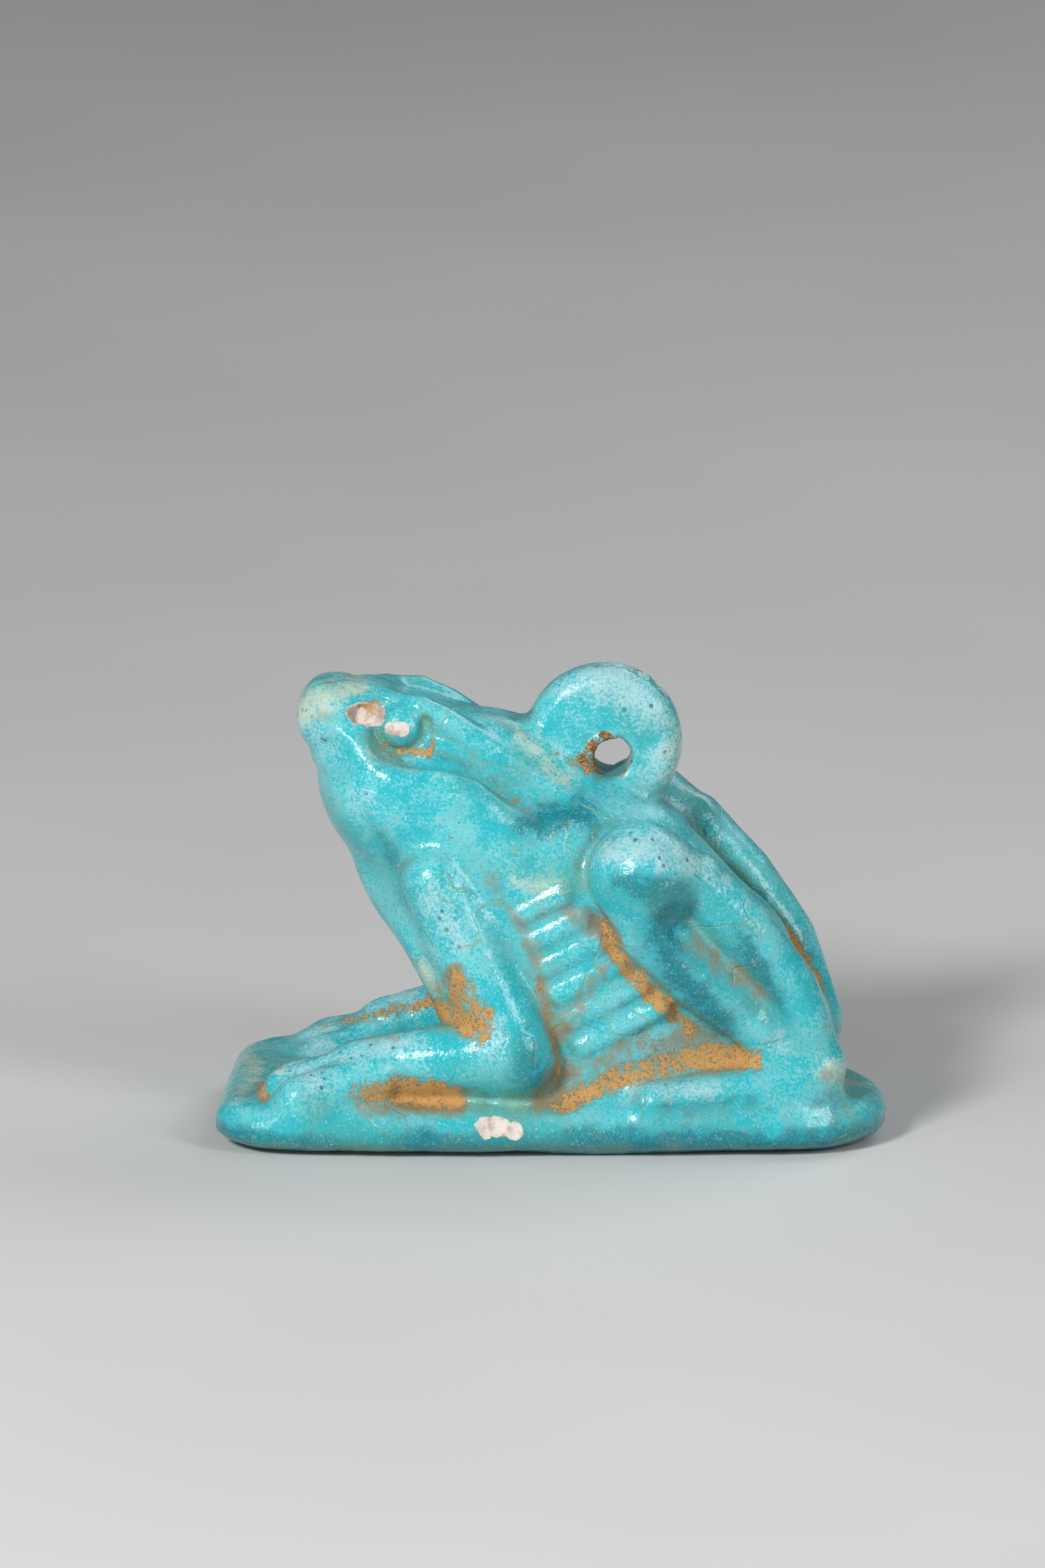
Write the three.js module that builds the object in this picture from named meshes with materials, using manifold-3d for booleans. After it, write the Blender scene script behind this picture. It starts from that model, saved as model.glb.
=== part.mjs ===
// A small glazed amulet: a frog crouching on a flat plinth, with a pierced disc on its back for a cord.
// Millimetres, +Z up. The frog faces -X, and the origin is under the middle of the plinth.
import * as THREE from "three";
import { edgeTable, triTable } from "three/addons/objects/MarchingCubes.js";
import { mergeVertices } from "three/addons/utils/BufferGeometryUtils.js";
import Module from "manifold-3d";

// Plinth
const PLINTH_LENGTH = 24;
const PLINTH_FRONT_WIDTH = 12.3;
const PLINTH_REAR_WIDTH = 7.9;
const PLINTH_THICKNESS = 1.75;
const PLINTH_TOP_RADIUS = 1;
const PLINTH_ROLL_HEIGHT = 0.7;
const PLINTH_ROLL_WIDTH = 1.7;
const PLINTH_FRONT_CORNER = 2.4;
const PLINTH_REAR_CORNER = 3.6;
const PLINTH_FRONT_SKEW = 0.07;
const PLINTH_TAPER_START = 0.1;
const PLINTH_TAPER_END = 1.15;

// Pierced disc
const DISC_DIAMETER = 5.66;
const DISC_THICKNESS = 2.1;
const DISC_EDGE_RADIUS = 0.85;
const HOLE_DIAMETER = 1.45;
const HOLE_SIDES = 24;

// The frog, toes to rump. Its pose and carving are in hundredths of this length.
const FROG_LENGTH = 20;
const TOE_OVERHANG = 0.05;

// Meshing
const CELL = 0.22;
const TRIANGLES = 8800;
const UNDERSIDE_CUT = 0.02;
const SHORTEST_EDGE = 0.02;
const LENGTH_COST = 1e-3;
const MOST_TURN = 0.5;
const SLOPE_STEP = 1e-3;
const LEAST_SLOPE = 0.1;

const share = FROG_LENGTH / 100;
const floorZ = PLINTH_THICKNESS;

// Fillets where the carved forms meet
const fillet = {
  breast: 7.5 * share,
  roof: 3.5 * share,
  cheek: 6 * share,
  socket: 4.5 * share,
  brow: 2.5 * share,
  eye: share,
  slit: 0.75 * share,
  rib: 1.75 * share,
  arm: 2.25 * share,
  toe: 1.5 * share,
  paw: 2.5 * share,
  shin: 2.5 * share,
  leg: 1.75 * share,
  foot: 5 * share,
  disc: 3 * share,
  plinth: 5 * share,
};

// A landmark of the frog: hundredths of its length ahead of or behind the middle, out from the
// middle plane, and up from the top of the plinth, with its radius.
const mark = (x, y, z, r) => [x * share, y * share, floorZ + z * share, r * share];

const clamp01 = (t) => Math.min(Math.max(t, 0), 1);
const clampTo = (t, limit) => Math.min(Math.max(t, -limit), limit);
const mix = (a, b, t) => a + (b - a) * t;
const smoothStep = (low, high, t) => {
  const s = clamp01((t - low) / (high - low));
  return s * s * (3 - 2 * s);
};

// Union and cut with a fillet of about k
function smoothMin(a, b, k) {
  const h = Math.max(k - Math.abs(a - b), 0) / k;
  return Math.min(a, b) - (h * h * k) / 4;
}
const smoothMax = (a, b, k) => -smoothMin(-a, -b, k);

// Distance to a limb that tapers along a chain of landmarks
function limb(x, y, z, chain) {
  let nearest = Infinity;
  for (let i = 1; i < chain.length; i++) {
    const [ax, ay, az, ar] = chain[i - 1];
    const [bx, by, bz, br] = chain[i];
    const dx = bx - ax;
    const dy = by - ay;
    const dz = bz - az;
    const along = ((x - ax) * dx + (y - ay) * dy + (z - az) * dz) / (dx * dx + dy * dy + dz * dz);
    const t = clamp01(along);
    const gap = Math.hypot(x - ax - t * dx, y - ay - t * dy, z - az - t * dz) - mix(ar, br, t);
    nearest = Math.min(nearest, gap);
  }
  return nearest;
}

// Two faces that meet in a round edge of that radius
function roundedMeeting(a, b, radius) {
  const p = a + radius;
  const q = b + radius;
  return Math.min(Math.max(p, q), 0) + Math.hypot(Math.max(p, 0), Math.max(q, 0)) - radius;
}

// A height that follows a line of [place, height] pairs along the frog
function heightAlong(line, x) {
  const at = line.findIndex(([place]) => place > x);
  if (at < 1) return at === 0 ? line[0][1] : line[line.length - 1][1];
  const [[x0, z0], [x1, z1]] = [line[at - 1], line[at]];
  return mix(z0, z1, (x - x0) / (x1 - x0));
}

// Plinth: a slab, wide at the front and narrow at the back, whose lower edge rolls under
function plinth(x, y, z) {
  const back = (x + PLINTH_LENGTH / 2) / PLINTH_LENGTH;
  const taper = smoothStep(PLINTH_TAPER_START, PLINTH_TAPER_END, back);
  const halfWidth = mix(PLINTH_FRONT_WIDTH, PLINTH_REAR_WIDTH, taper) / 2;
  const side = Math.abs(y) - halfWidth;
  const front = -PLINTH_LENGTH / 2 - x + PLINTH_FRONT_SKEW * Math.max(y + PLINTH_FRONT_WIDTH / 3, 0);
  const rear = x - PLINTH_LENGTH / 2;
  const blunt = roundedMeeting(side, front, PLINTH_FRONT_CORNER);
  const outline = Math.max(blunt, roundedMeeting(side, rear, PLINTH_REAR_CORNER));
  const above = roundedMeeting(outline, z - PLINTH_THICKNESS, PLINTH_TOP_RADIUS);
  const squeezed = (outline * PLINTH_ROLL_HEIGHT) / PLINTH_ROLL_WIDTH;
  return Math.max(above, roundedMeeting(squeezed, -z, PLINTH_ROLL_HEIGHT));
}

// The body seen from the side, from nose to rump and from breast to belly
const SPINE = [
  mark(-39.3, 0, 65.3, 7.4),
  mark(-34, 0, 62, 10.6),
  mark(-28, 0, 55.5, 14.6),
  mark(-14.5, 0, 45, 20.4),
  mark(5.5, 0, 32.5, 22.6),
  mark(24, 0, 19.5, 18.8),
  mark(37, 0, 9.5, 12.6),
];
const BREAST = [
  mark(-14.5, 0, 45, 20.4),
  mark(-7, 0, 20, 15.5),
  mark(4, 0, 2, 15),
  mark(26, 0, 0, 15),
  mark(38, 0, 0, 10),
];
const HEAD_ROUNDING = 16 * share;
const BACK_ROUNDING = 19 * share;
const BREAST_ROUNDING = 7 * share;

// The roof of the head and back is narrow. Cheeks and shoulders stand out below this line.
const LEDGE = [
  [-50, 72],
  [-42, 71],
  [-36, 69.5],
  [-26, 66],
  [-14.5, 60.5],
  [-8, 56],
  [-3, 53],
  [2, 54],
  [12, 62],
].map(([x, z]) => [x * share, floorZ + z * share]);
const LEDGE_ROUNDING = 10 * share;
const ROOF_HALF_WIDTH = 7.5 * share;
const ROOF_SLOPE = 0.42;
const ROOF_ROUNDING = 5 * share;

function body(x, y, z) {
  const profile = smoothMin(limb(x, 0, z, SPINE), limb(x, 0, z, BREAST), fillet.breast);
  const snout = mix(16, 20.8, smoothStep(-42, -10, x / share));
  const loins = mix(0, 9, smoothStep(6, 44, x / share));
  const side = Math.abs(y) - (snout - loins) * share;
  const high = mix(HEAD_ROUNDING, BACK_ROUNDING, smoothStep(-28, -8, x / share));
  const rounding = mix(BREAST_ROUNDING, high, smoothStep(20, 40, (z - floorZ) / share));
  const ledge = z - heightAlong(LEDGE, x);
  const below = roundedMeeting(ledge, side, LEDGE_ROUNDING);
  const flanks = Math.max(roundedMeeting(profile, side, rounding), below);
  const slope = Math.abs(y) - ROOF_HALF_WIDTH + ROOF_SLOPE * profile;
  const roof = roundedMeeting(profile, slope, ROOF_ROUNDING);
  return smoothMin(flanks, roof, fillet.roof) + fillet.roof / 8;
}

// Head: the full cheek, the eye in its socket, the slit behind it, the ridge over the brow and back,
// and the groove from the eye to the shoulder
const CHEEK = mark(-30.5, 8, 53, 9.8);
const EYE = mark(-28.4, 8.2, 65.6, 4.1);
const SOCKET = mark(-28.6, 13.4, 65.2, 5.4);
const EYE_SLIT = [mark(-23.8, 10.5, 67, 0.9), mark(-23.6, 11.5, 63.5, 1)];
const BROW = [
  mark(-31, 6, 69.5, 1.9),
  mark(-25, 8, 68.6, 2.4),
  mark(-20, 8.4, 66, 2.8),
  mark(-8, 9, 58.6, 2.4),
  mark(4, 9.5, 51, 2),
];
const NECK_GROOVE = [
  mark(-26, 13.5, 61, 1.6),
  mark(-14, 14, 58.5, 1.5),
  mark(-8, 15, 55, 1.3),
  mark(-3, 17, 53, 0.5),
];

function ball(x, y, z, [cx, cy, cz, radius]) {
  return Math.hypot(x - cx, y - cy, z - cz) - radius;
}

function head(x, out, z, solid) {
  const full = smoothMin(solid, ball(x, out, z, CHEEK), fillet.cheek);
  let cut = smoothMax(full, -ball(x, out, z, SOCKET), fillet.socket);
  cut = smoothMin(cut, limb(x, out, z, BROW), fillet.brow);
  cut = smoothMax(cut, -limb(x, out, z, NECK_GROOVE), fillet.brow);
  cut = smoothMin(cut, ball(x, out, z, EYE), fillet.eye);
  return smoothMax(cut, -limb(x, out, z, EYE_SLIT), fillet.slit);
}

// How far the frog reaches from the middle, out to its toes and up to its brow
const FROG_REACH = 53 * share;
const FROG_HALF_SPAN = 31 * share;
const FROG_TOP = floorZ + 74 * share;

// Foreleg: upper arm, elbow, forearm along the plinth and splayed toes
const ARM = [
  mark(-21.5, 16.8, 39.5, 6.4),
  mark(-16, 17.2, 29, 7.2),
  mark(-12, 18.8, 21, 6.4),
  mark(-6.5, 21, 10, 6.8),
];
const FOREARM = [mark(-6.5, 21, 8.5, 7), mark(-20, 20.5, 7.8, 6), mark(-35, 19.5, 6, 4.6)];
const OUTER_TOE = (PLINTH_FRONT_WIDTH / 2 + TOE_OVERHANG) / share - 4.2;
const TOES = [
  [mark(-33, 18, 6, 3.6), mark(-46, 14.5, 2.4, 2.8)],
  [mark(-34, 20.5, 6, 4.2), mark(-47.5, 20.5, 2.2, 3.2)],
  [mark(-31, OUTER_TOE - 3.8, 5.4, 4.2), mark(-44.5, OUTER_TOE, 1.6, 4.2)],
];

// On the far side the paw lies lower and ends sooner, and the hind leg stands higher
const FAR_PAW_DROP = 2.4 * share;
const FAR_PAW_SHORT = 5 * share;
const FAR_LEG_RISE = 2.6 * share;

function paw(x, out, z, far) {
  const along = far ? clamp01((-6.5 * share - x) / (30 * share)) : 0;
  const px = x - FAR_PAW_SHORT * along;
  const pz = z + FAR_PAW_DROP * along;
  let gap = limb(px, out, pz, FOREARM);
  for (const toe of TOES) gap = smoothMin(gap, limb(px, out, pz, toe), fillet.toe);
  return gap;
}

// Hind leg: knee, thigh, shin and a foot that lies forward along the plinth
const THIGH = [
  mark(15, 19.8, 42, 8.8),
  mark(16.5, 19, 32.5, 6.6),
  mark(24.4, 16.8, 23.8, 6),
  mark(34, 13.5, 15.5, 5),
  mark(41, 11.5, 8, 5),
];
const SHIN = [
  mark(15, 19.8, 42.5, 9),
  mark(24.5, 17.5, 40.5, 5.6),
  mark(33.5, 15.6, 31.2, 5.7),
  mark(41.8, 13.4, 20.7, 5.1),
  mark(47, 11.5, 7, 5),
];
const FOOT = [mark(46, 13, 3, 4.8), mark(30, 18, 2, 4.2), mark(18.5, 22, 1.2, 3.4)];
const HIP_GROOVE = [mark(20.8, 25.5, 35.5, 1.6), mark(28.5, 23, 27.6, 2.6), mark(38, 19.5, 18.5, 2)];

function hindLeg(x, out, z, far) {
  const lz = far ? z - FAR_LEG_RISE : z;
  const leg = smoothMin(limb(x, out, lz, THIGH), limb(x, out, lz, SHIN), fillet.shin);
  return smoothMax(leg, -limb(x, out, lz, HIP_GROOVE), fillet.shin);
}

// Ribs on the flank, between elbow and thigh
const RIBS = 6;
const RIB_SLOPE = 0.55;

function rib(i) {
  const t = i / (RIBS - 1);
  const x = mix(-2.5, 12.1, t);
  const z = mix(36, 14, t);
  const half = mix(3.5, 6.6, t);
  return [
    mark(x - half, 19.5, z - half * RIB_SLOPE, 1.6),
    mark(x + half, 19.4 - t, z + half * RIB_SLOPE, 2),
  ];
}
const RIB_CHAINS = Array.from({ length: RIBS }, (_, i) => rib(i));

// Disc that stands on the back, round in side view, with its hole a little below its middle
const DISC_X = 7.7 * share;
const DISC_Z = floorZ + 61.7 * share;
const HOLE_X = 8.9 * share;
const HOLE_Z = floorZ + 59.9 * share;

function disc(x, y, z) {
  const rim = Math.hypot(x - DISC_X, z - DISC_Z) - DISC_DIAMETER / 2;
  return roundedMeeting(rim, Math.abs(y) - DISC_THICKNESS / 2, DISC_EDGE_RADIUS);
}

// The whole amulet: below zero inside
function amulet(x, y, z) {
  const out = Math.abs(y);
  const far = y > 0;
  let solid = head(x, out, z, body(x, y, z));
  for (const chain of RIB_CHAINS) solid = smoothMin(solid, limb(x, out, z, chain), fillet.rib);
  solid = smoothMin(solid, limb(x, out, z, ARM), fillet.arm);
  solid = smoothMin(solid, hindLeg(x, out, z, far), fillet.leg);
  solid = smoothMin(solid, disc(x, y, z), fillet.disc);
  solid = smoothMin(solid, paw(x, out, z, far), fillet.paw);
  solid = smoothMin(solid, limb(x, out, z, FOOT), fillet.foot);
  return Math.max(smoothMin(solid, plinth(x, y, z), fillet.plinth), -z);
}

// The surface where a field is zero, by marching cubes over a box
function surfaceOf(field, low, high, cell) {
  const counts = low.map((v, i) => Math.ceil((high[i] - v) / cell) + 1);
  const [nx, ny, nz] = counts;
  const values = new Float64Array(nx * ny * nz);
  const at = (i, j, k) => i + nx * (j + ny * k);
  for (let k = 0; k < nz; k++)
    for (let j = 0; j < ny; j++)
      for (let i = 0; i < nx; i++)
        values[at(i, j, k)] = field(low[0] + i * cell, low[1] + j * cell, low[2] + k * cell);

  const ring = [[0, 0], [1, 0], [1, 1], [0, 1]];
  const corners = [0, 1].flatMap((c) => ring.map(([a, b]) => [a, b, c]));
  const around = [0, 4].flatMap((n) => [[n, n + 1], [n + 1, n + 2], [n + 2, n + 3], [n + 3, n]]);
  const edges = [...around, [0, 4], [1, 5], [2, 6], [3, 7]];
  const points = [];
  const triangles = [];
  const made = new Map();

  const crossing = (cube, edge) => {
    const ends = edges[edge].map((c) => corners[c].map((v, axis) => v + cube[axis]));
    const ids = ends.map((e) => at(...e));
    const key = Math.min(...ids) * values.length + Math.max(...ids);
    if (!made.has(key)) {
      const t = values[ids[0]] / (values[ids[0]] - values[ids[1]]);
      const kept = Math.min(Math.max(t, SHORTEST_EDGE), 1 - SHORTEST_EDGE);
      made.set(key, points.length);
      points.push(low.map((v, axis) => v + cell * mix(ends[0][axis], ends[1][axis], kept)));
    }
    return made.get(key);
  };

  for (let k = 0; k < nz - 1; k++)
    for (let j = 0; j < ny - 1; j++)
      for (let i = 0; i < nx - 1; i++) {
        let kind = 0;
        corners.forEach(([a, b, c], n) => {
          if (values[at(i + a, j + b, k + c)] < 0) kind |= 1 << n;
        });
        if (!edgeTable[kind]) continue;
        for (let n = 0; triTable[kind * 16 + n] !== -1; n += 3)
          triangles.push([2, 1, 0].map((v) => crossing([i, j, k], triTable[kind * 16 + n + v])));
      }
  return { points, triangles };
}

const minus = (a, b) => [a[0] - b[0], a[1] - b[1], a[2] - b[2]];
const dot = (a, b) => a[0] * b[0] + a[1] * b[1] + a[2] * b[2];
const cross = (a, b) => [a[1] * b[2] - a[2] * b[1], a[2] * b[0] - a[0] * b[2], a[0] * b[1] - a[1] * b[0]];

// A point moved along the slope of a field onto its surface
function settled(field, [x, y, z]) {
  const step = SLOPE_STEP;
  const slope = [
    (field(x + step, y, z) - field(x - step, y, z)) / (2 * step),
    (field(x, y + step, z) - field(x, y - step, z)) / (2 * step),
    (field(x, y, z + step) - field(x, y, z - step)) / (2 * step),
  ];
  const move = clampTo(field(x, y, z) / Math.max(dot(slope, slope), LEAST_SLOPE), CELL / 3);
  return [x - move * slope[0], y - move * slope[1], z - move * slope[2]];
}

// A triangle's normal, as long as twice its area
const faceNormal = (a, b, c) => cross(minus(b, a), minus(c, a));

// The sum of squared distances to the planes of the faces round a point, as ten numbers
function planeQuadric(a, b, c) {
  const normal = faceNormal(a, b, c);
  const area = Math.hypot(...normal) || 1e-12;
  const [x, y, z] = normal.map((v) => v / area);
  const w = -(x * a[0] + y * a[1] + z * a[2]);
  return [x * x, x * y, x * z, x * w, y * y, y * z, y * w, z * z, z * w, w * w].map((v) => v * area);
}

function quadricError(q, [x, y, z]) {
  const squares = q[0] * x * x + q[4] * y * y + q[7] * z * z + q[9];
  const products = q[1] * x * y + q[2] * x * z + q[5] * y * z;
  return squares + 2 * (products + q[3] * x + q[6] * y + q[8] * z);
}

// A heap of [cost, ...] rows, least cost first
function pushHeap(heap, row) {
  let i = heap.length;
  heap.push(row);
  while (i > 0) {
    const parent = (i - 1) >> 1;
    if (heap[parent][0] <= row[0]) break;
    heap[i] = heap[parent];
    i = parent;
  }
  heap[i] = row;
}

function popHeap(heap) {
  const top = heap[0];
  const last = heap.pop();
  if (!heap.length) return top;
  let i = 0;
  for (;;) {
    let child = 2 * i + 1;
    if (child >= heap.length) break;
    if (child + 1 < heap.length && heap[child + 1][0] < heap[child][0]) child++;
    if (heap[child][0] >= last[0]) break;
    heap[i] = heap[child];
    i = child;
  }
  heap[i] = last;
  return top;
}

// Merges the flattest edges of a closed mesh until it has about that many triangles. Its points
// stay on the surface of the field.
function simplified({ points, triangles }, field, wanted) {
  const place = points.map((point) => settled(field, point));
  const faces = triangles.map((t) => t.slice());
  const alive = faces.map(() => true);
  const around = points.map(() => new Set());
  const quadrics = points.map(() => new Array(10).fill(0));
  const stamp = points.map(() => 0);
  faces.forEach((face, f) => {
    const quadric = planeQuadric(...face.map((v) => place[v]));
    for (const v of face) {
      around[v].add(f);
      quadric.forEach((value, i) => (quadrics[v][i] += value));
    }
  });

  const neighbours = (v) => {
    const found = new Set();
    for (const f of around[v]) for (const other of faces[f]) if (other !== v) found.add(other);
    return found;
  };
  const heap = [];
  const between = (a, b) => place[a].map((value, i) => (value + place[b][i]) / 2);
  const offer = (a, b) => {
    const sum = quadrics[a].map((value, i) => value + quadrics[b][i]);
    const length = Math.hypot(...minus(place[a], place[b]));
    const cost = quadricError(sum, between(a, b)) + LENGTH_COST * length ** 4;
    pushHeap(heap, [cost, a, b, stamp[a], stamp[b]]);
  };
  const flips = (v, other, target) => {
    for (const f of around[v]) {
      if (faces[f].includes(other)) continue;
      const before = faces[f].map((n) => place[n]);
      const after = faces[f].map((n) => (n === v ? target : place[n]));
      const was = faceNormal(...before);
      const is = faceNormal(...after);
      if (dot(was, is) < MOST_TURN * Math.hypot(...was) * Math.hypot(...is)) return true;
    }
    return false;
  };

  points.forEach((_, a) => neighbours(a).forEach((b) => a < b && offer(a, b)));
  let left = faces.length;
  while (left > wanted && heap.length) {
    const [, a, b, stampA, stampB] = popHeap(heap);
    if (stamp[a] !== stampA || stamp[b] !== stampB) continue;
    const target = settled(field, between(a, b));
    const nearB = neighbours(b);
    const shared = [...neighbours(a)].filter((v) => nearB.has(v));
    if (shared.length !== 2 || flips(a, b, target) || flips(b, a, target)) continue;
    for (const f of [...around[b]]) {
      if (faces[f].includes(a)) {
        alive[f] = false;
        left--;
        for (const v of faces[f]) around[v].delete(f);
      } else {
        faces[f] = faces[f].map((v) => (v === b ? a : v));
        around[a].add(f);
      }
    }
    around[b].clear();
    place[a] = target;
    quadrics[b].forEach((value, i) => (quadrics[a][i] += value));
    stamp[a]++;
    stamp[b]++;
    neighbours(a).forEach((v) => offer(a, v));
  }
  return { points: place, triangles: faces.filter((_, f) => alive[f]) };
}

const wasm = await Module();
wasm.setup();

// A closed mesh as a solid that can be cut
function solidOf(vertProperties, triVerts) {
  return new wasm.Manifold(new wasm.Mesh({ numProp: 3, vertProperties, triVerts }));
}

function solidOfShape(geometry) {
  geometry.deleteAttribute("normal");
  geometry.deleteAttribute("uv");
  const merged = mergeVertices(geometry, 1e-5);
  return solidOf(merged.attributes.position.array, new Uint32Array(merged.index.array));
}

function geometryFrom(solid) {
  const mesh = solid.getMesh();
  const geometry = new THREE.BufferGeometry();
  geometry.setAttribute("position", new THREE.BufferAttribute(mesh.vertProperties, 3));
  geometry.setIndex(new THREE.BufferAttribute(mesh.triVerts, 1));
  const flat = geometry.toNonIndexed();
  flat.computeVertexNormals();
  return flat;
}

// The whole amulet, cut flat below and drilled through the disc
function makeAmulet() {
  const margin = 1.5 * CELL;
  const halfLength = Math.max(PLINTH_LENGTH / 2, FROG_REACH) + margin;
  const halfWidth = Math.max(PLINTH_FRONT_WIDTH / 2, PLINTH_REAR_WIDTH / 2, FROG_HALF_SPAN) + margin;
  const top = Math.max(DISC_Z + DISC_DIAMETER / 2, FROG_TOP) + margin;
  const skin = surfaceOf(amulet, [-halfLength, -halfWidth, -margin], [halfLength, halfWidth, top], CELL);
  const { points, triangles } = simplified(skin, amulet, TRIANGLES);
  const rough = solidOf(new Float32Array(points.flat()), new Uint32Array(triangles.flat()));

  const under = new THREE.BoxGeometry(4 * halfLength, 4 * halfWidth, 2 * margin);
  under.translate(0, 0, UNDERSIDE_CUT - margin);
  const bore = HOLE_DIAMETER / 2;
  const drill = new THREE.CylinderGeometry(bore, bore, 2 * DISC_THICKNESS, HOLE_SIDES);
  drill.translate(HOLE_X, 0, HOLE_Z);
  const finished = rough.subtract(solidOfShape(under)).subtract(solidOfShape(drill));
  return geometryFrom(finished.translate([0, 0, -UNDERSIDE_CUT]));
}

const glaze = new THREE.MeshStandardMaterial({ color: 0x5fb3bd, roughness: 0.3, metalness: 0 });
const frog = new THREE.Mesh(makeAmulet(), glaze);
frog.name = "frog_amulet";

const group = new THREE.Group();
group.name = "frog_amulet_part";
group.add(frog);
export default group;
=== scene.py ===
"""A turquoise glazed frog amulet: a crouching frog on a flat plinth, with a pierced disc for a cord."""
import math

import bpy
import numpy as np
from mathutils import Matrix, Vector


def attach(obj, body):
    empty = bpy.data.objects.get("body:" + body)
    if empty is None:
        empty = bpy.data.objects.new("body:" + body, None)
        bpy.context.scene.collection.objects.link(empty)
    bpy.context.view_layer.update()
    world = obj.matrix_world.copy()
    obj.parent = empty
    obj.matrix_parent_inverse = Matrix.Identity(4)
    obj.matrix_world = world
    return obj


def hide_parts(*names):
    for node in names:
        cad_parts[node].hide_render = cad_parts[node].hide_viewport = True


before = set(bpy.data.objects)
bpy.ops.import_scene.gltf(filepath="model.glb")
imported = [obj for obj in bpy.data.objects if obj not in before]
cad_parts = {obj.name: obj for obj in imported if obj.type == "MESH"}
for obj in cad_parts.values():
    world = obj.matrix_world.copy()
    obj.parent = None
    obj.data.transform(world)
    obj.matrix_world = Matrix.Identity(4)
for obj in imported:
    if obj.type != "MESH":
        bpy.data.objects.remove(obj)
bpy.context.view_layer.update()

# Plinth, in millimetres
PLINTH_LENGTH = 24.0
PLINTH_FRONT_WIDTH = 12.3
PLINTH_REAR_WIDTH = 7.9
PLINTH_THICKNESS = 1.75
PLINTH_TOP_RADIUS = 1.0
PLINTH_ROLL_HEIGHT = 0.7
PLINTH_ROLL_WIDTH = 1.7
PLINTH_FRONT_SKEW = 0.07
PLINTH_FRONT_CORNER = 2.4
PLINTH_REAR_CORNER = 3.6
PLINTH_TAPER_START = 0.1
PLINTH_TAPER_END = 1.15

# Pierced disc
DISC_DIAMETER = 5.66
DISC_THICKNESS = 2.1
DISC_EDGE_RADIUS = 0.85
HOLE_DIAMETER = 1.45
HOLE_LIP = 0.18

# The frog, toes to rump. Its pose and carving are in hundredths of this length.
FROG_LENGTH = 20.0
SHARE = FROG_LENGTH / 100
FLOOR = PLINTH_THICKNESS
FROG_HALF_SPAN = 31 * SHARE
TOE_OVERHANG = 0.05

# Fillets where the carved forms meet
FILLET = {
    "breast": 7.5 * SHARE,
    "roof": 3.5 * SHARE,
    "cheek": 6 * SHARE,
    "socket": 4.5 * SHARE,
    "brow": 2.5 * SHARE,
    "eye": SHARE,
    "slit": 0.75 * SHARE,
    "rib": 1.75 * SHARE,
    "arm": 2.25 * SHARE,
    "toe": 1.5 * SHARE,
    "paw": 2.5 * SHARE,
    "shin": 2.5 * SHARE,
    "leg": 1.75 * SHARE,
    "foot": 5 * SHARE,
    "disc": 3 * SHARE,
    "plinth": 5 * SHARE,
}

# Mesh
CELL = 0.15
MM = 0.001
SLOPE_STEP = 1e-3
LEAST_SQUARED_SLOPE = 0.1
SETTLING_STEPS = 2

# Camera: angles in degrees, height and middle of the picture in millimetres, distances in metres
CAMERA_ELEVATION = 13.0
CAMERA_ROLL = 1.42
FRAME_HEIGHT = 56.02
AIM = (-1.297, 12.11)
CAMERA_DISTANCE = 0.6
NEAREST_SEEN = 0.01
SENSOR_HEIGHT = 36


def mark(x, y, z, r):
    """A landmark of the frog in hundredths of its length, up from the top of the plinth."""
    return (x * SHARE, y * SHARE, FLOOR + z * SHARE, r * SHARE)


def smooth_step(low, high, t):
    s = np.clip((t - low) / (high - low), 0, 1)
    return s * s * (3 - 2 * s)


def mix(a, b, t):
    return a + (b - a) * t


def smooth_min(a, b, k):
    """Union of two forms with a fillet of about k."""
    h = np.maximum(k - np.abs(a - b), 0) / k
    return np.minimum(a, b) - h * h * k / 4


def smooth_max(a, b, k):
    """What two forms share, with a fillet of about k."""
    return -smooth_min(-a, -b, k)


def limb(x, y, z, chain):
    """Distance to a limb that tapers along a chain of landmarks."""
    nearest = None
    for (ax, ay, az, ar), (bx, by, bz, br) in zip(chain[:-1], chain[1:]):
        dx, dy, dz = bx - ax, by - ay, bz - az
        along = ((x - ax) * dx + (y - ay) * dy + (z - az) * dz) / (dx * dx + dy * dy + dz * dz)
        t = np.clip(along, 0, 1)
        gap = np.sqrt((x - ax - t * dx) ** 2 + (y - ay - t * dy) ** 2 + (z - az - t * dz) ** 2)
        gap = gap - mix(ar, br, t)
        nearest = gap if nearest is None else np.minimum(nearest, gap)
    return nearest


def rounded_meeting(a, b, radius):
    """Two faces that meet in a round edge of that radius."""
    p, q = a + radius, b + radius
    outside = np.sqrt(np.maximum(p, 0) ** 2 + np.maximum(q, 0) ** 2)
    return np.minimum(np.maximum(p, q), 0) + outside - radius


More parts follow.
